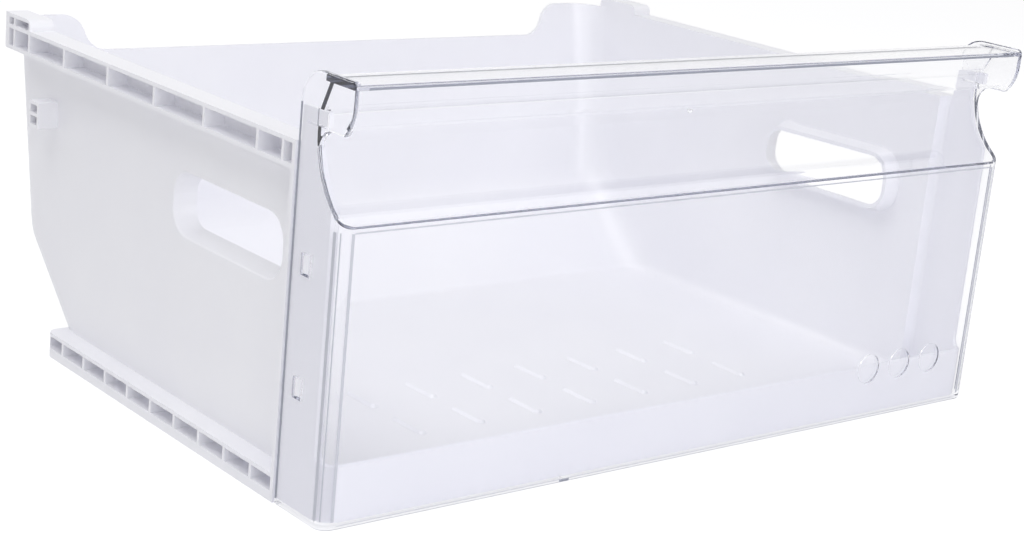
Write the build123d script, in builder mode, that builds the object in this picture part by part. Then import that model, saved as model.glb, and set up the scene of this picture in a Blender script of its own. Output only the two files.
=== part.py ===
from build123d import *
import os
from math import acos, asin, cos, degrees, radians, sin, tan

# Freezer drawer: a white moulded tub, and a clear moulded front snapped over its open end.
# Millimetres. X runs across the drawer, Y from the handle to the back, Z up.
# The origin lies on the ground under the middle of the drawer's box.

# Whole drawer
width = 440.0               # over the rails, and over the sides of the clear front
depth = 347.0               # handle lip to back rim
height = 202.0              # ground to the top of the clear front

# Clear front: walls and fit
front_wall = 2.5            # wall of the clear moulding
fit_gap = 0.3               # clearance between the clear front and the tub
front_depth = 41.0          # handle lip to the rear edge of the sides
lip_overhang = 3.0          # handle lip ahead of the front face
front_corner = 7.0          # rounding of the upright front corners
edge_round = 1.2            # rounding of the crease and of the side edges
lead_in = 0.9               # slope inside the sides' rear edges, which guides them over the tub
foot_round = 1.2            # rounding of the lower edge

# Clear front: finger hollow and handle hood, with drops measured from the top of the drawer
finger_radius = 41.0        # curve of the hollow above the crease
finger_depth = 22.1         # front face to the deepest line of the hollow
finger_drop = 26.4          # deepest line of the hollow
finger_sweep = 20.0         # part of the hollow that carries on up into the hood, degrees
hood_blend = 9.0            # rounding between the hollow and the lower edge of the end plates
hood_top_drop = 1.3         # top plate below the tops of the end plates
hood_top_lap = 3.2          # top plate behind the hood's rear wall
hood_lean = 25.0            # lean of the hood's rear wall under the top plate, degrees
hood_bend_drop = 19.0       # line where that lean begins
lip_curl = 20.6             # radius of the handle lip's curl
lip_curl_drop = 9.5         # line where the lip begins to curl back
lip_sweep = 39.4            # curl of the lip, degrees
toe_sweep = 46.7            # curl of the end plates' front edge, degrees
lip_round = 3.0             # rounding of the lip's upper corner
toe_round = 2.0             # rounding of the end plates' lower front corner
shoulder_round = 15.0       # rounding of the sides' upper rear corner

# Snaps between the clear front and the tub
snap_heights = (59.5, 116.0)
snap_setback = 12.3         # snaps ahead of the rear edge of the clear front
slot_width = 6.5
slot_height = 10.0
hook_gap = 0.8              # clearance round a hook in its slot
hook_reach = 2.2            # how far a hook stands out of the tub's mouth
hook_land = 1.0             # flat behind the hook's ramp
notch_x = -77.0             # notch in the foot of the clear front
notch_length = 6.0
notch_width = 3.0

# Clear front: row of plain round marks, sunk into its face
mark_count = 3
mark_pitch = 25.0
mark_setback = 61.5         # right side to the middle of the row
mark_level = 29.0
mark_diameter = 16.5
mark_depth = 0.8

# Tub: walls
wall = 2.5
wall_height = 168.6         # ground to the top of the side walls
rail_reach = 11.0           # rails beyond the side walls
back_lean = 10.0            # lean of the back wall, degrees from upright
knee_height = 50.0          # height where the back wall meets the slope below it
slope_angle = 42.0          # slope under the back wall, degrees from level
knee_round = 30.0
corner_round = 20.5         # rounding of the rear corners, outside
floor_round = 8.5           # rounding round the floor, outside
sill_height = 30.0          # low sill across the mouth
sill_corner = 9.0           # rounding of the sill's ends, seen from above
sill_edge = 0.9             # slope along the sill's upper edges
mouth_setback = 9.8         # front face to the front edges of the mouth's sides
mouth_foot_round = 4.0      # rounding where those edges meet the sill
mouth_inner_round = 2.0     # rounding inside the mouth, at the shoulder
shoulder_gap = 1.2          # rear edge of the clear front to the shoulder
tab_rise = 16.4             # tabs above the side walls, inside the clear front
tab_setback = 1.0           # tabs ahead of the rear edge of the clear front
tab_round = 1.5
tongue_height = 6.4         # springy tongue along the top of each tab
tongue_slit = 1.2           # slit under the tongue
tongue_root = 3.5           # rear end of the tongue, joined to the tab
tongue_reach = 5.0          # tongue ahead of the hood's rear wall, which it passes through
tongue_gap = 0.6            # clearance round the tongue in that wall

# Tub: back rim, lower than the side walls, with a rising curve at each end
rim_drop = 19.6             # back rim below the side walls
rim_run = 26.0              # length of the rising curve
horn_width = 28.5           # level top between that curve and the side wall

# Tub: rails
rib = 1.8
rail_height = 13.3          # top rail
rail_plate = 2.0            # upper and lower plates of the top rail
rail_pitch = 46.6
rail_front_cell = 8.5       # short cell behind the shoulder
rail_first_cell = 21.0      # next cell, before the even pitch begins
rail_stop = 14.4            # back rim to the rear end of the top rail
rail_end_block = 8.6        # closed rear end of the top rail
lobe_length = 34.0          # raised end of the top rail
lobe_rise = 5.9             # raised end above the side walls
lobe_rear_cell = 7.1        # short cell of the raised end, before the closed end
lobe_round = 4.0
rail_round = 7.0            # rounding of the top rail's rear end, seen from above
runner_height = 13.7        # bottom rail
runner_top = 2.0            # its upper plate
runner_sole = 5.0           # ground to the floor of its cells
runner_groove = 2.5         # depth of the groove under it
runner_edge = 2.5           # solid edge on each side of that groove
runner_pitch = 23.4
runner_first_cell = 18.4    # short cell behind the shoulder
runner_stop = 5.0           # foot of the slope to the rear end of the bottom rail
runner_round = 6.0

# Tub: lug on each side wall
lug_setback = 55.5          # back rim to the middle of the lug
lug_level = 126.0
lug_length = 11.0
lug_height = 14.0

# Tub: hand holes
hand_distance = 113.0       # handle lip to the middle of the hand holes
hand_level = 111.5
hand_length = 98.0
hand_height = 32.0
hand_round = 13.0
hand_collar = 9.0           # collar inside the wall
hand_taper = 14.0           # taper of hole and collar, degrees
hand_edge = 1.2             # rounding of the outer edge

# Tub: raised dashes on the floor
dash_columns = 7
dash_pitch = 37.3
dash_distances = (87.0, 128.5)
dash_length = 25.0
dash_width = 5.2
dash_height = 1.5
dash_corner = 1.6           # cut across a dash's corners
dash_edge = 1.3             # slope round the top of a dash

cut_margin = 10.0           # how far cutting shapes reach past what they cut
near = 0.01                 # points closer than this count as the same


def behind_lip(distance):
    """Y of a point that lies this far behind the front of the handle lip."""
    return distance - depth / 2


def back_wall(level):
    """Y of the outside of the back wall at this height."""
    return depth / 2 - (wall_height - level) * tan(radians(back_lean))


def cells_between(ribs):
    """Middle and length of each open cell between neighbouring ribs that leave room for one."""
    return [((a + b) / 2, b - a - rib) for a, b in zip(ribs, ribs[1:]) if b - a > 2 * rib]


def even_ribs(first, last, pitch):
    """Ribs at an even pitch from the first, none nearer to the last than half a pitch."""
    count = int((last - first) / pitch + 0.5)
    return [first + pitch * i for i in range(max(count, 1))]


# Places that several features share
lip_y = behind_lip(0)
face_y = behind_lip(lip_overhang)
front_rear = behind_lip(front_depth)
front_half = width / 2
front_inner = front_half - front_wall
side_outer = width / 2 - rail_reach
side_inner = side_outer - wall
floor_under = front_wall + fit_gap
floor_top = floor_under + wall
slope_foot = back_wall(knee_height) - (knee_height - floor_under) / tan(radians(slope_angle))
mouth_half = front_inner - fit_gap
mouth_front = face_y + front_wall + fit_gap
shoulder_front = front_rear + shoulder_gap
shoulder_back = shoulder_front + wall
mouth_side_front = face_y + mouth_setback
hollow_y = face_y + finger_depth - finger_radius
hollow_z = height - finger_drop
deepest = face_y + finger_depth
skin_rear = deepest + front_wall
tab_top = wall_height + tab_rise
tongue_low = tab_top - tongue_height
tongue_front = deepest - tongue_reach
tongue_inner = mouth_half - wall
snap_y = front_rear - snap_setback
lug_y = depth / 2 - lug_setback
rail_low = wall_height - rail_height
lobe_height = wall_height + lobe_rise
rim_height = wall_height - rim_drop
rim_half = side_inner - horn_width - rim_run


def tub_block(front, top, half_width, inset):
    """Block with the tub's side outline and rounded rear, moved in from the outside by inset."""
    with BuildPart() as block:
        with BuildSketch(Plane.YZ) as outline:
            with BuildLine():
                Polyline(
                    (front - inset, floor_under),
                    (slope_foot, floor_under),
                    (back_wall(knee_height), knee_height),
                    (back_wall(top + inset), top + inset),
                    (front - inset, top + inset),
                    close=True,
                )
            make_face()
            if inset > 0:
                offset(amount=-inset, mode=Mode.REPLACE)
            knee = outline.vertices().sort_by_distance((back_wall(knee_height), knee_height))[0]
            fillet(knee, knee_round - inset)
        extrude(amount=half_width, both=True)
        side_edges = block.edges().filter_by(lambda e: abs(e.center().X) > half_width - near)
        rear_edges = side_edges.filter_by(
            lambda e: e.center().Y > 0 and floor_under + inset + near < e.center().Z < top - near
        )
        fillet(rear_edges, corner_round - inset)
        floor_edges = block.faces().sort_by(Axis.Z)[0].edges()
        fillet(floor_edges.filter_by(lambda e: e.center().Y > front + near), floor_round - inset)
    return block.part


tub_outside = tub_block(shoulder_front, wall_height, side_outer, 0)
tub_inside = tub_block(mouth_front + wall, wall_height + cut_margin, side_inner, wall)

# Rib places along the rails, from front to back
rail_end = depth / 2 - rail_stop
lobe_front = rail_end - lobe_length
rail_last_rib = rail_end - rail_end_block
rail_first_rib = shoulder_back - rib / 2
rail_second_rib = rail_first_rib + rail_front_cell
lobe_first_rib = lobe_front + rib / 2
lobe_middle_rib = rail_last_rib - lobe_rear_cell
rail_ribs = [
    rail_first_rib,
    rail_second_rib,
    *even_ribs(rail_second_rib + rail_first_cell, lobe_front, rail_pitch),
    lobe_first_rib,
    lobe_middle_rib,
    rail_last_rib,
]
runner_end = slope_foot - runner_stop
runner_ribs = [
    shoulder_back - rib / 2,
    *even_ribs(shoulder_back - rib / 2 + runner_first_cell, runner_end - rib / 2, runner_pitch),
    runner_end - rib / 2,
]

# Tub: one white moulding
with BuildPart() as tub:
    add(tub_outside)

    # Mouth frame that the clear front slides over, and the shoulder behind it
    with BuildSketch(Plane.XY.offset(floor_under)) as mouth_plan:
        with Locations((0, (mouth_front + shoulder_back) / 2)):
            Rectangle(2 * mouth_half, shoulder_back - mouth_front)
        fillet(mouth_plan.vertices().group_by(Axis.Y)[0], sill_corner)
    extrude(amount=wall_height - floor_under)
    with BuildSketch(Plane.XY):
        with Locations((0, (shoulder_front + shoulder_back) / 2)):
            Rectangle(width, shoulder_back - shoulder_front)
    extrude(amount=wall_height)

    # Rails and lugs as solid bars, from the inside of the wall outwards
    for side in (-1, 1):
        with BuildSketch(Plane.YZ.offset(side * side_inner)) as bars:
            with Locations(((shoulder_front + rail_end) / 2, wall_height - rail_height / 2)):
                Rectangle(rail_end - shoulder_front, rail_height)
            with Locations(((shoulder_front + runner_end) / 2, runner_height / 2)):
                Rectangle(runner_end - shoulder_front, runner_height)
            with Locations((lug_y, lug_level)):
                Rectangle(lug_length, lug_height)
            with Locations(((lobe_front + rail_end) / 2, (rail_low + lobe_height) / 2)):
                Rectangle(lobe_length, lobe_height - rail_low)
            fillet(bars.vertices().group_by(Axis.Y)[-1], lobe_round)
        extrude(amount=side * (rail_reach + wall))

        # Rounded rear ends of the rails, seen from above
        for end, radius, low, high in (
            (rail_end, rail_round, rail_low, lobe_height),
            (runner_end, runner_round, 0, runner_height),
        ):
            with BuildSketch(Plane.XY.offset(low)):
                with Locations((side * (width - radius) / 2, end - radius / 2)):
                    Rectangle(radius, radius)
                with Locations((side * (width / 2 - radius), end - radius)):
                    Circle(radius, mode=Mode.SUBTRACT)
            extrude(amount=high - low, mode=Mode.SUBTRACT)

    # Inside of the tub, inside of the mouth frame, and the open front above the sill
    add(tub_inside, mode=Mode.SUBTRACT)
    with BuildSketch(Plane.XY.offset(floor_top)) as mouth_hollow:
        with Locations((0, (mouth_front + wall + shoulder_front) / 2)):
            Rectangle(2 * (mouth_half - wall), shoulder_front - mouth_front - wall)
        fillet(mouth_hollow.vertices().group_by(Axis.Y)[0], sill_corner - wall)
        fillet(mouth_hollow.vertices().group_by(Axis.Y)[-1], mouth_inner_round)
    extrude(amount=wall_height - floor_top + cut_margin, mode=Mode.SUBTRACT)
    with BuildSketch(Plane.YZ) as mouth_opening:
        with BuildLine():
            Polyline(
                (mouth_front - cut_margin, sill_height),
                (mouth_side_front, sill_height),
                (mouth_side_front, wall_height + cut_margin),
                (mouth_front - cut_margin, wall_height + cut_margin),
                close=True,
            )
        make_face()
        foot = mouth_opening.vertices().sort_by_distance((mouth_side_front, sill_height))[0]
        fillet(foot, mouth_foot_round)
    extrude(amount=width, both=True, mode=Mode.SUBTRACT)
    sill_edges = tub.edges().filter_by(Axis.X).filter_by(
        lambda e: abs(e.center().Z - sill_height) < near and e.center().Y < shoulder_front
    )
    chamfer(sill_edges, sill_edge)

    # Sides of the mouth cut back behind the finger hollow of the clear front
    with BuildSketch(Plane.YZ):
        with Locations((hollow_y, hollow_z)):
            Circle(finger_radius + front_wall + fit_gap)
    extrude(amount=width, both=True, mode=Mode.SUBTRACT)

    # Back rim
    with BuildSketch(Plane.XZ):
        with BuildLine() as rim:
            low = Line((0, rim_height), (rim_half, rim_height))
            middle = (rim_half + rim_run / 2, (rim_height + wall_height) / 2)
            rise = TangentArc(low @ 1, middle, tangent=low % 1)
            crest = TangentArc(rise @ 1, (rim_half + rim_run, wall_height), tangent=rise % 1)
            Polyline(
                crest @ 1,
                (rim_half + rim_run, wall_height + cut_margin),
                (0, wall_height + cut_margin),
            )
            mirror(about=Plane.YZ)
        make_face()
    extrude(amount=-depth, mode=Mode.SUBTRACT)

    for side in (-1, 1):
        # Open cells of the rails, the raised rail ends and the lugs
        with BuildSketch(Plane.YZ.offset(side * side_outer)):
            for middle, length in cells_between(rail_ribs):
                with Locations((middle, wall_height - rail_height / 2)):
                    Rectangle(length, rail_height - 2 * rail_plate)
            for middle, length in cells_between(rail_ribs[-3:]):
                with Locations((middle, (wall_height + lobe_height - rail_plate) / 2)):
                    Rectangle(length, lobe_height - rail_plate - wall_height)
            for middle, length in cells_between(runner_ribs):
                with Locations((middle, (runner_sole + runner_height - runner_top) / 2)):
                    Rectangle(length, runner_height - runner_top - runner_sole)
            lug_cell = (lug_height - 3 * rib) / 2
            with Locations((lug_y, lug_level)):
                with GridLocations(0, lug_cell + rib, 1, 2):
                    Rectangle(lug_length - 2 * rib, lug_cell)
        extrude(amount=side * (rail_reach + cut_margin), mode=Mode.SUBTRACT)

        # Groove under the runner
        groove_width = rail_reach - 2 * runner_edge
        groove_length = runner_end - runner_round - shoulder_back
        with BuildSketch(Plane.XY):
            with Locations((side * (side_outer + rail_reach / 2), shoulder_back + groove_length / 2)):
                Rectangle(groove_width, groove_length)
        extrude(amount=runner_groove, mode=Mode.SUBTRACT)

        # Hand hole with its tapered collar
        hand_middle = (behind_lip(hand_distance), hand_level)
        with BuildSketch(Plane.YZ.offset(side * side_outer)):
            with Locations(hand_middle):
                RectangleRounded(hand_length + 2 * wall, hand_height + 2 * wall, hand_round + wall)
        extrude(amount=-side * (wall + hand_collar), taper=hand_taper)
        with BuildSketch(Plane.YZ.offset(side * side_outer)):
            with Locations(hand_middle):
                RectangleRounded(hand_length, hand_height, hand_round)
        extrude(amount=-side * (wall + hand_collar), taper=hand_taper, mode=Mode.SUBTRACT)
        hand_edges = tub.edges(Select.LAST).filter_by(lambda e: e.center().X * side > side_outer - near)
        fillet(hand_edges, hand_edge)

        # Snap hooks on the mouth frame: a ramp towards the front, an upright catch behind
        hook_front = snap_y - slot_width / 2 + hook_gap
        hook_back = snap_y + slot_width / 2 - hook_gap
        for level in snap_heights:
            with BuildSketch(Plane.XY.offset(level - slot_height / 2 + hook_gap)):
                with BuildLine():
                    Polyline(
                        (side * (mouth_half - wall / 2), hook_front),
                        (side * mouth_half, hook_front),
                        (side * (mouth_half + hook_reach), hook_back - hook_land),
                        (side * (mouth_half + hook_reach), hook_back),
                        (side * (mouth_half - wall / 2), hook_back),
                        close=True,
                    )
                make_face()
            extrude(amount=slot_height - 2 * hook_gap)

        # Tab that stands up inside the clear front, with its tongue cut free along the top
        tab_front = skin_rear + fit_gap
        tab_back = front_rear - tab_setback
        with BuildSketch(Plane.YZ.offset(side * tongue_inner)) as tab:
            with Locations(((tab_front + tab_back) / 2, wall_height + (tab_rise - wall) / 2)):
                Rectangle(tab_back - tab_front, tab_rise + wall)
            with Locations(((tongue_front + tab_back) / 2, tab_top - tongue_height / 2)):
                Rectangle(tab_back - tongue_front, tongue_height)
            fillet(tab.vertices().group_by(Axis.Y)[-1], tab_round)
            slit_back = tab_back - tongue_root
            with Locations(((tab_front + slit_back) / 2, tongue_low - tongue_slit / 2)):
                Rectangle(slit_back - tab_front, tongue_slit, mode=Mode.SUBTRACT)
        extrude(amount=side * wall)

    # Raised dashes on the floor
    with BuildSketch(Plane.XY.offset(floor_top)) as dashes:
        for distance in dash_distances:
            with Locations((0, behind_lip(distance))):
                with GridLocations(dash_pitch, 0, dash_columns, 1):
                    Rectangle(dash_width, dash_length)
        chamfer(dashes.vertices(), dash_corner)
    extrude(amount=dash_height)
    chamfer(tub.faces(Select.LAST).filter_by(Axis.Z).group_by(Axis.Z)[-1].edges(), dash_edge)

# Handle hood: where the outlines of the clear front meet
lip_curl_z = height - lip_curl_drop
hood_bend = height - hood_bend_drop
hood_foot = lip_curl_z - lip_curl * sin(radians(toe_sweep))
hollow_foot = -degrees(acos((face_y - hollow_y) / finger_radius))
hollow_head = degrees(asin((hood_foot - hollow_z) / finger_radius))
curl_centre = (lip_y + lip_curl, lip_curl_z)
top_plate = height - hood_top_drop
top_under = top_plate - front_wall
lean_reach = (top_under - hood_bend) * tan(radians(hood_lean))
lean_rear = deepest - lean_reach + front_wall / cos(radians(hood_lean))
bend_shift = front_wall * tan(radians(hood_lean / 2))

# Space behind the clear front's skin
with BuildPart() as front_inside:
    with BuildSketch(Plane.YZ):
        with BuildLine():
            inner_face = face_y + front_wall
            inner_radius = finger_radius + front_wall
            inner_foot = -degrees(acos((inner_face - hollow_y) / inner_radius))
            inner_hollow = CenterArc((hollow_y, hollow_z), inner_radius, inner_foot, -inner_foot)
            Polyline(
                inner_hollow @ 1,
                (skin_rear, hood_bend + bend_shift),
                (lean_rear, top_under),
                (lean_rear + hood_top_lap, top_under),
                (lean_rear + hood_top_lap, height + cut_margin),
                (front_rear + cut_margin, height + cut_margin),
                (front_rear + cut_margin, front_wall),
                (inner_face, front_wall),
                inner_hollow @ 0,
            )
        make_face()
    extrude(amount=front_inner, both=True)
    inner_corners = front_inside.edges().filter_by(Axis.Z).group_by(Axis.Y)[0]
    fillet(inner_corners, front_corner - front_wall)
    with BuildSketch(Plane.XY.offset(front_wall)):
        with BuildLine():
            Polyline(
                (-front_inner, front_rear - lead_in),
                (front_inner, front_rear - lead_in),
                (front_inner + lead_in, front_rear),
                (front_inner + lead_in, front_rear + cut_margin),
                (-front_inner - lead_in, front_rear + cut_margin),
                (-front_inner - lead_in, front_rear),
                close=True,
            )
        make_face()
    extrude(amount=height)

# Clear front: one moulding with side plates, foot, finger hollow and handle hood
with BuildPart() as front_panel:
    with BuildSketch(Plane.YZ) as silhouette:
        with BuildLine():
            hollow_sweep = hollow_head - hollow_foot
            hollow = CenterArc((hollow_y, hollow_z), finger_radius, hollow_foot, hollow_sweep)
            curl = CenterArc(curl_centre, lip_curl, 180, toe_sweep)
            Line(hollow @ 1, curl @ 1)
            Polyline(
                curl @ 0,
                (lip_y, height),
                (front_rear, height),
                (front_rear, 0),
                (face_y, 0),
                hollow @ 0,
            )
        make_face()
        for corner, radius in (
            (hollow @ 1, hood_blend),
            (curl @ 1, toe_round),
            ((lip_y, height), lip_round),
            ((front_rear, height), shoulder_round),
        ):
            fillet(silhouette.vertices().sort_by_distance(corner)[0], radius)
    extrude(amount=front_half, both=True)
    front_uprights = front_panel.edges().filter_by(Axis.Z).filter_by(
        lambda e: abs(e.center().Y - face_y) < near
    )
    fillet(front_uprights, front_corner)
    hollow_face = front_panel.faces().filter_by(GeomType.CYLINDER).filter_by(
        lambda f: abs(f.radius - finger_radius) < near
    )[0]
    crease = hollow_face.edges().filter_by(lambda e: abs(e.center().X) < front_half - near)
    side_edges = front_panel.faces().filter_by(Axis.X).edges().filter_by(
        lambda e: e.center().Z > edge_round and abs(e.center().Y - face_y - front_corner) > near
    )
    soft_edges = crease.sort_by(Axis.Z)[:-1] + side_edges
    fillet(soft_edges, edge_round)
    foot_edges = front_panel.faces().sort_by(Axis.Z)[0].edges()
    fillet(foot_edges.filter_by(lambda e: e.center().Y < front_rear - near), foot_round)

    add(front_inside.part, mode=Mode.SUBTRACT)

    # Channel of the hood, open downwards behind the handle lip
    with BuildSketch(Plane.YZ):
        with BuildLine():
            channel_back = CenterArc((hollow_y, hollow_z), finger_radius, -finger_sweep, finger_sweep)
            lip_inside = CenterArc(curl_centre, lip_curl - front_wall, 180, lip_sweep)
            Polyline(
                channel_back @ 1,
                (deepest, hood_bend),
                (deepest - lean_reach, top_under),
                (lip_y + front_wall, top_under),
                lip_inside @ 0,
            )
            Polyline(
                lip_inside @ 1,
                (lip_y - cut_margin, (lip_inside @ 1).Y),
                (lip_y - cut_margin, (channel_back @ 0).Y),
                channel_back @ 0,
            )
        make_face()
    extrude(amount=front_inner, both=True, mode=Mode.SUBTRACT)

    # Top plate, a little lower than the end plates
    with BuildSketch(Plane.XY.offset(top_plate)):
        with Locations((0, (lip_y + front_rear) / 2)):
            Rectangle(2 * front_inner, front_rear - lip_y + 2 * cut_margin)
    extrude(amount=hood_top_drop + cut_margin, mode=Mode.SUBTRACT)

    # Openings in the hood's rear wall for the tub's tongues
    for side in (-1, 1):
        with BuildSketch(Plane.XZ.offset(-tongue_front)):
            with Locations((side * (tongue_inner + front_inner) / 2, tab_top - tongue_height / 2)):
                Rectangle(front_inner - tongue_inner + 2 * tongue_gap, tongue_height + 2 * tongue_gap)
        extrude(amount=-(skin_rear + fit_gap - tongue_front), mode=Mode.SUBTRACT)

    # Slots for the tub's hooks, and the notch in the foot
    for level in snap_heights:
        with BuildSketch(Plane.YZ):
            with Locations((snap_y, level)):
                Rectangle(slot_width, slot_height)
        extrude(amount=width, both=True, mode=Mode.SUBTRACT)
    with BuildSketch(Plane.XY):
        with Locations((notch_x, face_y + front_wall + notch_width / 2)):
            Rectangle(notch_length, notch_width)
    extrude(amount=front_wall, mode=Mode.SUBTRACT)

    # Round marks
    with BuildSketch(Plane.XZ.offset(-face_y)):
        with Locations((front_half - mark_setback, mark_level)):
            with GridLocations(mark_pitch, 0, mark_count, 1):
                Circle(mark_diameter / 2)
    extrude(amount=-mark_depth, mode=Mode.SUBTRACT)

os.makedirs("parts", exist_ok=True)
tub.part.label = "tub"
front_panel.part.label = "front_panel"
export_step(tub.part, "parts/tub.step")
export_step(front_panel.part, "parts/front_panel.step")
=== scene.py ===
"""Look of a freezer drawer: a white ribbed tub with a clear snapped-on front, in a pale studio."""

import logging
import math
from dataclasses import dataclass
from enum import Enum

import bmesh
import bpy
from mathutils import Matrix, Vector


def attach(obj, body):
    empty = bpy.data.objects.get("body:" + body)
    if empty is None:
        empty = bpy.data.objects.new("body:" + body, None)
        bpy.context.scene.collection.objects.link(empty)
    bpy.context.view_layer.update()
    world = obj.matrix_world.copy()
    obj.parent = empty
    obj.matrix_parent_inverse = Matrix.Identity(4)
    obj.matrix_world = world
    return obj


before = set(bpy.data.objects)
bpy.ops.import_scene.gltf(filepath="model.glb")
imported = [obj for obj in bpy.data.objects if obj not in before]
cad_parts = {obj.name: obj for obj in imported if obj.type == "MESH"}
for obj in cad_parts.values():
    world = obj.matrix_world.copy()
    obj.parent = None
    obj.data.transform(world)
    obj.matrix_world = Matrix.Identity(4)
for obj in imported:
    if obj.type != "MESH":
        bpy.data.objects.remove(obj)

LOG = logging.getLogger("freezer_drawer")
MM = 0.001


class Node(Enum):
    """Mouldings of the drawer, by their names in the frame."""

    TUB = "tub"
    FRONT = "front_panel"


class Side(Enum):
    """Sides of the drawer, as the sign of X."""

    LEFT = -1
    RIGHT = 1


def linear(hex_colour: str) -> tuple[float, float, float, float]:
    """Turn an sRGB hex colour into linear RGBA.

    Args:
        hex_colour: Colour such as "#F2F2F8".

    Returns:
        Red, green, blue and alpha, as shaders take them.
    """
    digits = hex_colour.lstrip("#")
    shares = [int(digits[i : i + 2], 16) / 255 for i in (0, 2, 4)]
    red, green, blue = (
        s / 12.92 if s <= 0.04045 else ((s + 0.055) / 1.055) ** 2.4 for s in shares
    )
    return red, green, blue, 1.0


def add_node(
    tree: bpy.types.NodeTree,
    kind: str,
    settings: dict[str, object] | None = None,
    values: dict[str | int, object] | None = None,
    links: dict[str | int, bpy.types.NodeSocket] | None = None,
) -> bpy.types.Node:
    """Add a node with its settings, socket values and incoming links.

    Args:
        tree: Node tree that gets the node.
        kind: Blender's name for the kind of node.
        settings: Properties of the node itself.
        values: Constant values of its input sockets.
        links: Output sockets that feed its input sockets.

    Returns:
        The new node.
    """
    node = tree.nodes.new(kind)
    for name, value in (settings or {}).items():
        setattr(node, name, value)
    for name, value in (values or {}).items():
        node.inputs[name].default_value = value
    for name, socket in (links or {}).items():
        tree.links.new(socket, node.inputs[name])
    return node


def empty_material(name: str) -> tuple[bpy.types.Material, bpy.types.NodeTree]:
    """Make a material with an empty node tree.

    Args:
        name: Name of the material.

    Returns:
        The material and its node tree.
    """
    material = bpy.data.materials.new(name)
    material.use_nodes = True
    material.node_tree.nodes.clear()
    return material, material.node_tree


@dataclass(frozen=True)
class MouldedWhite:
    """White high-impact polystyrene, injection moulded against a fine satin tool.

    It gives the eye a pale, faintly blue white with soft, broad highlights, a slight waviness from
    the flow of the melt, and a fine grain that breaks up the gloss.
    """

    colour: str = "#F5F5F8"
    flow_colour: str = "#EFEFF4"
    roughness: float = 0.36
    gloss_spread: tuple[float, float] = (-0.05, 0.07)  # roughness from valleys to tops of the grain
    ior: float = 1.59
    flow_mm: float = 45.0
    flow_height_mm: float = 0.4
    flow_bump: float = 0.06
    grain_mm: float = 0.9  # real grain is about 0.1 mm, drawn coarser so that it shows
    grain_height_mm: float = 0.05
    grain_bump: float = 0.05

    def build(self) -> bpy.types.Material:
        """Build the material."""
        material, tree = empty_material("moulded_white_polystyrene")
        place = add_node(tree, "ShaderNodeTexCoord").outputs["Object"]
        flow = add_node(
            tree,
            "ShaderNodeTexNoise",
            values={"Scale": 1 / (self.flow_mm * MM), "Detail": 3.0, "Roughness": 0.45},
            links={"Vector": place},
        )
        grain = add_node(
            tree,
            "ShaderNodeTexNoise",
            values={"Scale": 1 / (self.grain_mm * MM), "Detail": 2.0},
            links={"Vector": place},
        )
        tint = add_node(
            tree,
            "ShaderNodeMix",
            settings={"data_type": "RGBA"},
            values={6: linear(self.flow_colour), 7: linear(self.colour)},
            links={0: flow.outputs["Fac"]},
        )
        shine = add_node(
            tree,
            "ShaderNodeMapRange",
            values={
                "To Min": self.roughness + self.gloss_spread[0],
                "To Max": self.roughness + self.gloss_spread[1],
            },
            links={"Value": grain.outputs["Fac"]},
        )
        wave = add_node(
            tree,
            "ShaderNodeBump",
            values={"Strength": self.flow_bump, "Distance": self.flow_height_mm * MM},
            links={"Height": flow.outputs["Fac"]},
        )
        skin = add_node(
            tree,
            "ShaderNodeBump",
            values={"Strength": self.grain_bump, "Distance": self.grain_height_mm * MM},
            links={"Height": grain.outputs["Fac"], "Normal": wave.outputs["Normal"]},
        )
        shader = add_node(
            tree,
            "ShaderNodeBsdfPrincipled",
            values={"IOR": self.ior},
            links={
                "Base Color": tint.outputs[2],
                "Roughness": shine.outputs["Result"],
                "Normal": skin.outputs["Normal"],
            },
        )
        add_node(tree, "ShaderNodeOutputMaterial", links={"Surface": shader.outputs["BSDF"]})
        return material


@dataclass(frozen=True)
class MouldedClear:
    """Clear general-purpose polystyrene, injection moulded against a polished tool.

    It gives the eye sharp thin lines along every edge, grey-blue where the wall is seen edge on, and
    almost nothing where it is seen face on. Lamps and soft light shine through it.
    """

    colour: str = "#FFFFFF"
    depth_colour: str = "#C9CBD8"
    depth_density: float = 28.0
    lamp_colour: str = "#FCFCFE"  # left of lamp light and soft light that passes the wall
    roughness: float = 0.03
    ior: float = 1.56

    def build(self) -> bpy.types.Material:
        """Build the material."""
        material, tree = empty_material("moulded_clear_polystyrene")
        shader = add_node(
            tree,
            "ShaderNodeBsdfPrincipled",
            values={
                "Base Color": linear(self.colour),
                "Roughness": self.roughness,
                "IOR": self.ior,
                "Transmission Weight": 1.0,
            },
        )
        lamp_light = add_node(
            tree, "ShaderNodeBsdfTransparent", values={"Color": linear(self.lamp_colour)}
        )
        rays = add_node(tree, "ShaderNodeLightPath")
        lamps_through = add_node(
            tree,
            "ShaderNodeMixShader",
            links={
                0: rays.outputs["Is Shadow Ray"],
                1: shader.outputs["BSDF"],
                2: lamp_light.outputs["BSDF"],
            },
        )
        surface = add_node(
            tree,
            "ShaderNodeMixShader",
            links={
                0: rays.outputs["Is Diffuse Ray"],
                1: lamps_through.outputs[0],
                2: lamp_light.outputs["BSDF"],
            },
        )
        inside = add_node(
            tree,
            "ShaderNodeVolumeAbsorption",
            values={"Color": linear(self.depth_colour), "Density": self.depth_density},
        )
        add_node(
            tree,
            "ShaderNodeOutputMaterial",
            links={"Surface": surface.outputs[0], "Volume": inside.outputs[0]},
        )
        return material


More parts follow.
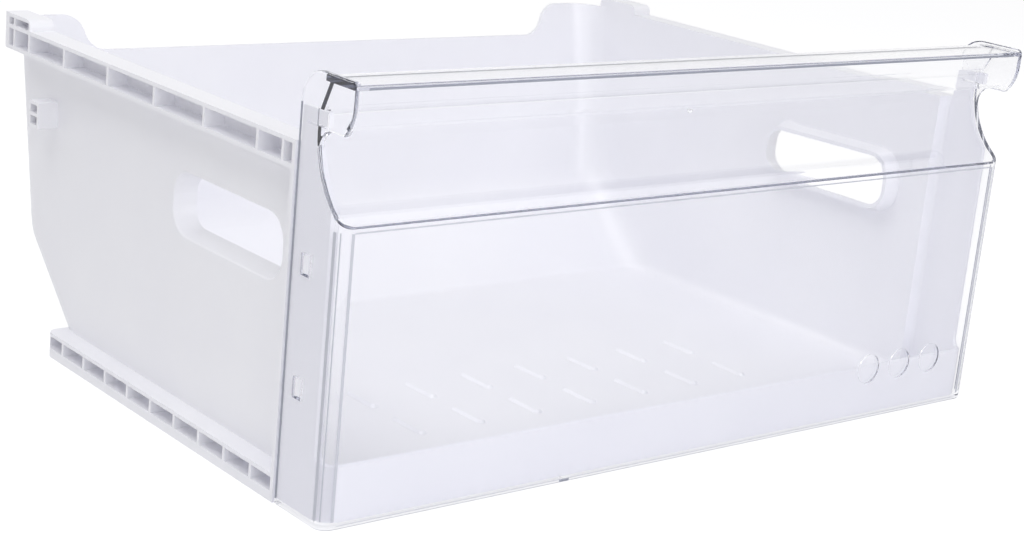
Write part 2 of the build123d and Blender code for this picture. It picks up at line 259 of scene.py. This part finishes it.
@dataclass(frozen=True)
class PaintedShade:
    """Painted shade: a dull grey-blue sheet, set inside the clear wall where its edges and bends look
    dark.

    It gives the eye a flat grey-blue line, painted in place of the shade the clear wall shows there.
    """

    name: str = "painted_dark_shade"
    # colour of the painted shade
    colour: str = "#8A8E9C"
    roughness: float = 0.55
    ior: float = 1.59
    grit_mm: float = 0.6  # bump grain of the painted shade sheet, drawn coarse so that it shows
    grit_height_mm: float = 0.05
    grit_bump: float = 0.2

    def build(self) -> bpy.types.Material:
        """Build the material."""
        material, tree = empty_material(self.name)
        place = add_node(tree, "ShaderNodeTexCoord").outputs["Object"]
        grit = add_node(
            tree,
            "ShaderNodeTexNoise",
            values={"Scale": 1 / (self.grit_mm * MM), "Detail": 2.0},
            links={"Vector": place},
        )
        skin = add_node(
            tree,
            "ShaderNodeBump",
            values={"Strength": self.grit_bump, "Distance": self.grit_height_mm * MM},
            links={"Height": grit.outputs["Fac"]},
        )
        shader = add_node(
            tree,
            "ShaderNodeBsdfPrincipled",
            values={
                "Base Color": linear(self.colour),
                "Roughness": self.roughness,
                "IOR": self.ior,
            },
            links={"Normal": skin.outputs["Normal"]},
        )
        add_node(tree, "ShaderNodeOutputMaterial", links={"Surface": shader.outputs["BSDF"]})
        return material


@dataclass
class Moulding:
    """One moulding of the drawer, shown in its solid's own shape."""

    node: Node
    finish: MouldedWhite | MouldedClear

    @property
    def piece(self) -> bpy.types.Object:
        """The moulding's object in the frame."""
        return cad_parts[self.node.value]

    def dress(self) -> bpy.types.Material:
        """Give the moulding its finish, and return that material."""
        material = self.finish.build()
        self.piece.data.materials.clear()
        self.piece.data.materials.append(material)
        return material


@dataclass(frozen=True)
class CornerLine:
    """One upright painted shade line in a rounded front corner of the clear front.

    It stands where the corner's wall bends the view and looks dark, at an angle from the side face in
    degrees.
    """

    name: str
    angle: float
    width: float


@dataclass
class FrontDetail:
    """Painted shade lines inside the clear front, where its edges and bends look dark, and the trace of
    its gate.

    The lines are thin dull sheets of painted shade inside the clear wall. Lengths are millimetres in
    the drawer's frame.
    """

    # grey of the paler painted shade lines, in the corners, under the crease and along the foot
    pale_shade_colour: str = "#C2C4CC"
    plate_inner: float = 217.5  # X of a side plate's inner face
    plate_rear: float = -132.5  # Y of its rear edge
    lead_in: float = 0.9  # slope inside that edge
    lead_in_span: tuple[float, float] = (3.0, 186.0)
    corner_centre: tuple[float, float] = (213.0, -163.5)  # axis of a rounded front corner
    corner_radius: float = 5.75  # middle of its wall
    corner_span: tuple[float, float] = (4.0, 136.0)
    corner_lines: tuple[CornerLine, ...] = (
        CornerLine("side_line", 8.0, 1.6),
        CornerLine("bend_line", 36.0, 0.6),
        CornerLine("face_line", 88.0, 1.4),
    )
    crease_place: tuple[float, float] = (-169.4, 136.0)  # Y and Z of the painted shade line under the crease
    crease_size: tuple[float, float] = (425.0, 0.7)
    lip_place: tuple[float, float] = (-172.25, 198.9)  # Y and Z of the painted shade line along the handle lip
    lip_size: tuple[float, float] = (426.0, 0.9)
    foot_place: tuple[float, float] = (-169.3, 1.7)  # Y and Z of the painted shade line along the foot
    foot_size: tuple[float, float] = (422.0, 0.3)
    notch_place: tuple[float, float, float] = (-79.0, -169.6, 1.0)  # painted shade where the foot's notch looks dark, seen through it
    notch_size: tuple[float, float] = (6.0, 1.1)
    sheet: float = 0.14  # thickness of a painted shade sheet
    sheet_round: float = 0.04
    skin: float = 0.05  # clear skin over a lead-in's sheet
    gate_place: tuple[float, float, float] = (-22.8, -168.7, 179.3)
    gate_radii: tuple[float, float] = (1.3, 0.8)  # stub's root and its broken end
    gate_height: float = 1.6
    gate_round: float = 0.25

    def build(self, clear: bpy.types.Material) -> list[bpy.types.Object]:
        """Build the painted shade lines and the trace, and let them ride on the drawer.

        Args:
            clear: Material of the clear moulding.

        Returns:
            The new pieces.
        """
        # two painted shade materials, a dark grey and a paler one, for the dark lines of the clear wall
        dark_shade = PaintedShade().build()
        pale_shade = PaintedShade("painted_pale_shade", self.pale_shade_colour).build()
        pieces = [
            self.gate_trace(clear),
            self.long_line("crease_line", self.crease_place, self.crease_size, pale_shade),
            self.long_line("lip_line", self.lip_place, self.lip_size, dark_shade),
            self.long_line("foot_line", self.foot_place, self.foot_size, pale_shade),
            self.notch_shade(dark_shade),
        ]
        for side in Side:
            pieces.append(self.lead_in_line(side, dark_shade))
            pieces += [self.corner_line(side, line, pale_shade) for line in self.corner_lines]
        return pieces

    def piece(
        self, name: str, shape: bmesh.types.BMesh, material: bpy.types.Material
    ) -> bpy.types.Object:
        """Turn a shape in millimetres into a piece that rides on the drawer.

        Args:
            name: Name of the piece.
            shape: Its shape, which is freed.
            material: Its finish.

        Returns:
            The piece.
        """
        bmesh.ops.scale(shape, vec=(MM, MM, MM), verts=shape.verts)
        bmesh.ops.recalc_face_normals(shape, faces=shape.faces)
        mesh = bpy.data.meshes.new(name)
        shape.to_mesh(mesh)
        shape.free()
        mesh.materials.append(material)
        piece = bpy.data.objects.new(name, mesh)
        bpy.context.scene.collection.objects.link(piece)
        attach(piece, "root")
        return piece

    def painted_shade_sheet(
        self, size: tuple[float, float, float], turn: float, place: tuple[float, float, float]
    ) -> bmesh.types.BMesh:
        """Shape a thin sheet of painted shade with softened edges.

        Args:
            size: Its lengths before it is turned.
            turn: Its turn about the upright axis, in radians.
            place: Its middle.

        Returns:
            The shape.
        """
        shape = bmesh.new()
        bmesh.ops.create_cube(shape, size=1.0)
        bmesh.ops.scale(shape, vec=size, verts=shape.verts)
        bmesh.ops.bevel(
            shape,
            geom=shape.edges[:],
            offset=self.sheet_round,
            segments=2,
            profile=0.5,
            affect="EDGES",
            material=-1,
        )
        matrix = Matrix.Rotation(turn, 3, "Z")
        bmesh.ops.rotate(shape, cent=(0, 0, 0), matrix=matrix, verts=shape.verts)
        bmesh.ops.translate(shape, vec=place, verts=shape.verts)
        return shape

    def lead_in_line(self, side: Side, dark_shade: bpy.types.Material) -> bpy.types.Object:
        """Build the painted shade line along one side plate's lead-in, just under its skin, where the
        plate's rear edge looks dark.

        Args:
            side: Side of the drawer.
            dark_shade: Material of the dark painted shade.

        Returns:
            The piece.
        """
        low, high = self.lead_in_span
        inset = self.lead_in / 2 + (self.sheet / 2 + self.skin) * math.sqrt(0.5)
        shape = self.painted_shade_sheet(
            (self.lead_in * math.sqrt(2) - 2 * self.skin, self.sheet, high - low),
            math.radians(45 * side.value),
            (side.value * (self.plate_inner + inset), self.plate_rear - inset, (low + high) / 2),
        )
        return self.piece(f"lead_in_{side.name.lower()}", shape, dark_shade)

    def corner_line(
        self, side: Side, line: CornerLine, pale_shade: bpy.types.Material
    ) -> bpy.types.Object:
        """Build one upright painted shade line inside a rounded front corner.

        Args:
            side: Side of the drawer.
            line: The line.
            pale_shade: Material of the pale painted shade.

        Returns:
            The piece.
        """
        low, high = self.corner_span
        angle = math.radians(line.angle)
        centre_x, centre_y = self.corner_centre
        shape = self.painted_shade_sheet(
            (line.width, self.sheet, high - low),
            side.value * (math.pi / 2 - angle),
            (
                side.value * (centre_x + self.corner_radius * math.cos(angle)),
                centre_y - self.corner_radius * math.sin(angle),
                (low + high) / 2,
            ),
        )
        return self.piece(f"{line.name}_{side.name.lower()}", shape, pale_shade)

    def long_line(
        self,
        name: str,
        place: tuple[float, float],
        size: tuple[float, float],
        finish: bpy.types.Material,
    ) -> bpy.types.Object:
        """Build one level painted shade line inside the wall, across the whole front.

        Args:
            name: Name of the piece.
            place: Y and Z of its middle.
            size: Its length and width.
            finish: Its material.

        Returns:
            The piece.
        """
        length, width = size
        shape = self.painted_shade_sheet((length, self.sheet, width), 0.0, (0.0, *place))
        return self.piece(name, shape, finish)

    def notch_shade(self, dark_shade: bpy.types.Material) -> bpy.types.Object:
        """Build the painted shade of the notch in the foot, a dark sheet just behind the front face.

        Args:
            dark_shade: Material of the dark painted shade.

        Returns:
            The piece.
        """
        length, width = self.notch_size
        shape = self.painted_shade_sheet((length, self.sheet, width), 0.0, self.notch_place)
        return self.piece("notch_shade", shape, dark_shade)

    def gate_trace(self, clear: bpy.types.Material) -> bpy.types.Object:
        """Build the small stub that the moulding's gate leaves under the handle lip.

        Args:
            clear: Material of the clear moulding.

        Returns:
            The piece.
        """
        root, tip = self.gate_radii
        shape = bmesh.new()
        bmesh.ops.create_cone(
            shape,
            cap_ends=True,
            segments=24,
            radius1=tip,
            radius2=root,
            depth=self.gate_height,
        )
        broken_rim = [edge for edge in shape.edges if all(v.co.z < 0 for v in edge.verts)]
        bmesh.ops.bevel(
            shape,
            geom=broken_rim,
            offset=self.gate_round,
            segments=3,
            profile=0.5,
            affect="EDGES",
            material=-1,
        )
        bmesh.ops.translate(shape, vec=self.gate_place, verts=shape.verts)
        for face in shape.faces:
            face.smooth = len(face.verts) == 4
        return self.piece("gate_trace", shape, clear)


@dataclass(frozen=True)
class Softbox:
    """One square soft lamp."""

    name: str
    place: tuple[float, float, float]
    target: tuple[float, float, float]
    size: float
    power: float

    def build(self) -> None:
        """Hang the lamp and turn it to its target."""
        lamp = bpy.data.lights.new(self.name, "AREA")
        lamp.size = self.size
        lamp.energy = self.power
        holder = bpy.data.objects.new(self.name, lamp)
        holder.location = self.place
        aim = Vector(self.target) - Vector(self.place)
        holder.rotation_euler = aim.to_track_quat("-Z", "Y").to_euler()
        holder.visible_camera = False
        bpy.context.scene.collection.objects.link(holder)


@dataclass
class Studio:
    """Pale floor, white surroundings, soft lamps, and the camera."""

    softboxes: tuple[Softbox, ...] = (
        Softbox("top_softbox", (-0.55, 0.0, 1.4), (0.0, 0.0, 0.05), 1.0, 7.6),
        Softbox("front_softbox", (0.1, -1.6, 0.45), (0.0, 0.0, 0.05), 1.0, 8.2),
        Softbox("left_softbox", (-0.52, -0.75, 0.30), (-0.22, -0.15, 0.1), 0.4, 0.9),
        Softbox("right_softbox", (0.75, -0.05, 1.15), (0.0, -0.1, 0.1), 0.6, 0.6),
        Softbox("back_left_softbox", (-0.63, 0.94, 0.88), (0.0, -0.1, 0.0), 0.4, 1.5),
    )
    floor_size: float = 12.0
    world_strength: float = 0.45
    world_colour: str = "#FBFBFF"
    paper_colour: str = "#F2F2F2"
    shown_paper: float = 0.45  # share of the shown floor that takes light and shadow
    shown_glow: float = 0.76  # share that is white by itself
    light_bounces: int = 128  # clear plates lead light along their whole length
    through_bounces: int = 24
    soft_bounces: int = 8
    eye: tuple[float, float, float] = (-0.70069, -0.85499, 0.36087)
    aim: tuple[float, float, float] = (0.62020, 0.73723, -0.26803)
    roll_deg: float = 5.591
    lens_mm: float = 72.04
    sensor_mm: float = 36.0
    clip: tuple[float, float] = (0.05, 50.0)

    def build(self) -> None:
        """Build everything that isn't part of the drawer."""
        self.build_floor()
        self.build_world()
        for softbox in self.softboxes:
            softbox.build()
        self.build_camera()
        scene = bpy.context.scene
        scene.view_settings.view_transform = "Standard"
        scene.cycles.max_bounces = self.light_bounces
        scene.cycles.glossy_bounces = self.light_bounces
        scene.cycles.transmission_bounces = self.light_bounces
        scene.cycles.transparent_max_bounces = self.through_bounces
        scene.cycles.diffuse_bounces = self.soft_bounces

    def shows_white(self, tree: bpy.types.NodeTree) -> bpy.types.NodeSocket:
        """Tell the rays that show the white background: seen directly, in gloss or through plastic.

        Args:
            tree: Node tree that gets the nodes.

        Returns:
            Socket that is 1 for those rays.
        """
        rays = add_node(tree, "ShaderNodeLightPath")
        shown = rays.outputs["Is Camera Ray"]
        for kind in ("Is Glossy Ray", "Is Transmission Ray"):
            shown = add_node(
                tree,
                "ShaderNodeMath",
                settings={"operation": "MAXIMUM"},
                links={0: shown, 1: rays.outputs[kind]},
            ).outputs[0]
        return shown

    def build_floor(self) -> None:
        """Build the floor: white as seen, with the drawer's soft shadow."""
        shape = bmesh.new()
        bmesh.ops.create_grid(shape, x_segments=1, y_segments=1, size=self.floor_size / 2)
        mesh = bpy.data.meshes.new("studio_floor")
        shape.to_mesh(mesh)
        shape.free()
        floor = bpy.data.objects.new("studio_floor", mesh)
        bpy.context.scene.collection.objects.link(floor)
        material, tree = empty_material("white_studio_paper")
        paper = add_node(
            tree, "ShaderNodeBsdfDiffuse", values={"Color": linear(self.paper_colour)}
        )
        half_paper = add_node(
            tree, "ShaderNodeBsdfDiffuse", values={"Color": (*[self.shown_paper] * 3, 1.0)}
        )
        glow = add_node(
            tree, "ShaderNodeEmission", values={"Color": (1, 1, 1, 1), "Strength": self.shown_glow}
        )
        seen = add_node(
            tree,
            "ShaderNodeAddShader",
            links={0: half_paper.outputs[0], 1: glow.outputs[0]},
        )
        surface = add_node(
            tree,
            "ShaderNodeMixShader",
            links={0: self.shows_white(tree), 1: paper.outputs[0], 2: seen.outputs[0]},
        )
        add_node(tree, "ShaderNodeOutputMaterial", links={"Surface": surface.outputs[0]})
        mesh.materials.append(material)

    def build_world(self) -> None:
        """Build the white surroundings and their plain light."""
        world = bpy.data.worlds.new("white_studio")
        world.use_nodes = True
        tree = world.node_tree
        tree.nodes.clear()
        light = add_node(
            tree,
            "ShaderNodeBackground",
            values={"Color": linear(self.world_colour), "Strength": self.world_strength},
        )
        white = add_node(
            tree, "ShaderNodeBackground", values={"Color": (1, 1, 1, 1), "Strength": 1.0}
        )
        surface = add_node(
            tree,
            "ShaderNodeMixShader",
            links={0: self.shows_white(tree), 1: light.outputs[0], 2: white.outputs[0]},
        )
        add_node(tree, "ShaderNodeOutputWorld", links={"Surface": surface.outputs[0]})
        bpy.context.scene.world = world

    def build_camera(self) -> None:
        """Build the camera at the photograph's viewpoint."""
        lens = bpy.data.cameras.new("camera")
        lens.lens = self.lens_mm
        lens.sensor_width = self.sensor_mm
        lens.clip_start, lens.clip_end = self.clip
        camera = bpy.data.objects.new("camera", lens)
        forward = Vector(self.aim).normalized()
        right = forward.cross(Vector((0, 0, 1))).normalized()
        up = right.cross(forward)
        roll = math.radians(self.roll_deg)
        rolled_right = right * math.cos(roll) + up * math.sin(roll)
        rolled_up = up * math.cos(roll) - right * math.sin(roll)
        turn = Matrix((rolled_right, rolled_up, -forward)).transposed()
        camera.matrix_world = Matrix.Translation(Vector(self.eye)) @ turn.to_4x4()
        bpy.context.scene.collection.objects.link(camera)
        bpy.context.scene.camera = camera


def main() -> None:
    """Build the drawer's look and the studio, and report each piece."""
    logging.basicConfig(level=logging.INFO, format="%(name)s: %(message)s")
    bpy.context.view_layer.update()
    tub = Moulding(Node.TUB, MouldedWhite())
    front = Moulding(Node.FRONT, MouldedClear())
    tub.dress()
    clear = front.dress()
    marks = FrontDetail().build(clear)
    for piece in (tub.piece, front.piece, *marks):
        LOG.info("%s: %d faces", piece.name, len(piece.data.polygons))
    Studio().build()
    LOG.info("studio is ready")


if __name__ == "__main__":
    main()
